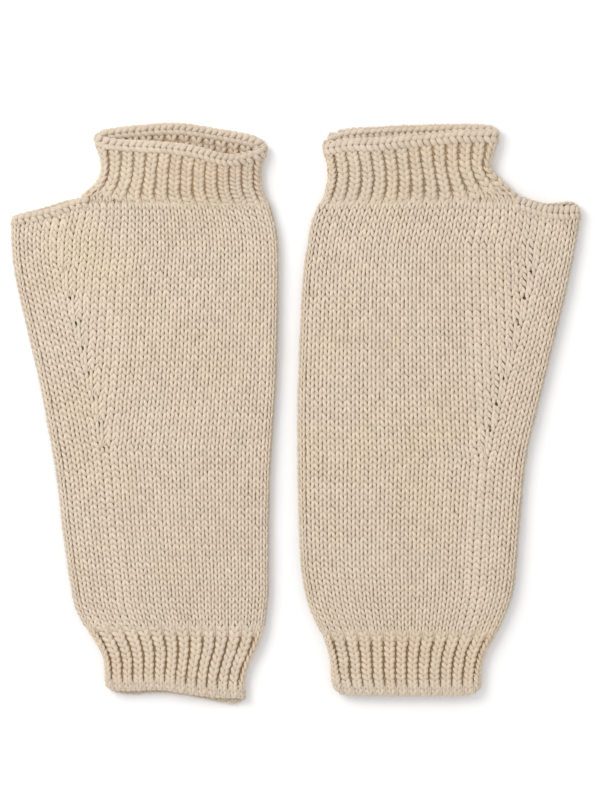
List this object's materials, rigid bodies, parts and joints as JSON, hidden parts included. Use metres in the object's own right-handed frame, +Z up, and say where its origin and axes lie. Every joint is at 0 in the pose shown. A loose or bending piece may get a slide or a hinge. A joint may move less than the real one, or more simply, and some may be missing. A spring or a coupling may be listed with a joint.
{
  "type": "pair of fingerless knitted gloves",
  "caption": "Cream fingerless gloves in plain knitting, ribbed at wrist and fingers with an open thumb, lying flat side by side.",
  "frame": {"origin": "middle of the pair's footprint on the surface that the gloves lie on", "axes": "+Y from the wrists towards the fingers, +X from the left glove to the right one as seen from above with the fingers pointing away, +Z up from the surface"},
  "size_m": [0.2283, 0.2323, 0.0118],
  "materials": {
    "knit": "matt plain knitting in a smooth plied cream yarn",
    "ribbing": "matt single rib in the same cream yarn, with shaded furrows",
    "edge": "matt cast-on and bound-off edges in the same cream yarn"
  },
  "bodies": {
    "root": {"left_wrist_edge_front": "edge", "left_wrist_rib_front": "ribbing", "left_hand_front": "knit", "left_thumb_edge_front": "edge", "left_finger_rib_front": "ribbing", "left_finger_edge_front": "edge", "left_wrist_edge_back": "edge", "left_wrist_rib_back": "ribbing", "left_hand_back": "knit", "left_thumb_edge_back": "edge", "left_finger_rib_back": "ribbing", "left_finger_edge_back": "edge", "right_wrist_edge_front": "edge", "right_wrist_rib_front": "ribbing", "right_hand_front": "knit", "right_thumb_edge_front": "edge", "right_finger_rib_front": "ribbing", "right_finger_edge_front": "edge", "right_wrist_edge_back": "edge", "right_wrist_rib_back": "ribbing", "right_hand_back": "knit", "right_thumb_edge_back": "edge", "right_finger_rib_back": "ribbing", "right_finger_edge_back": "edge"}
  },
  "joints": []
}
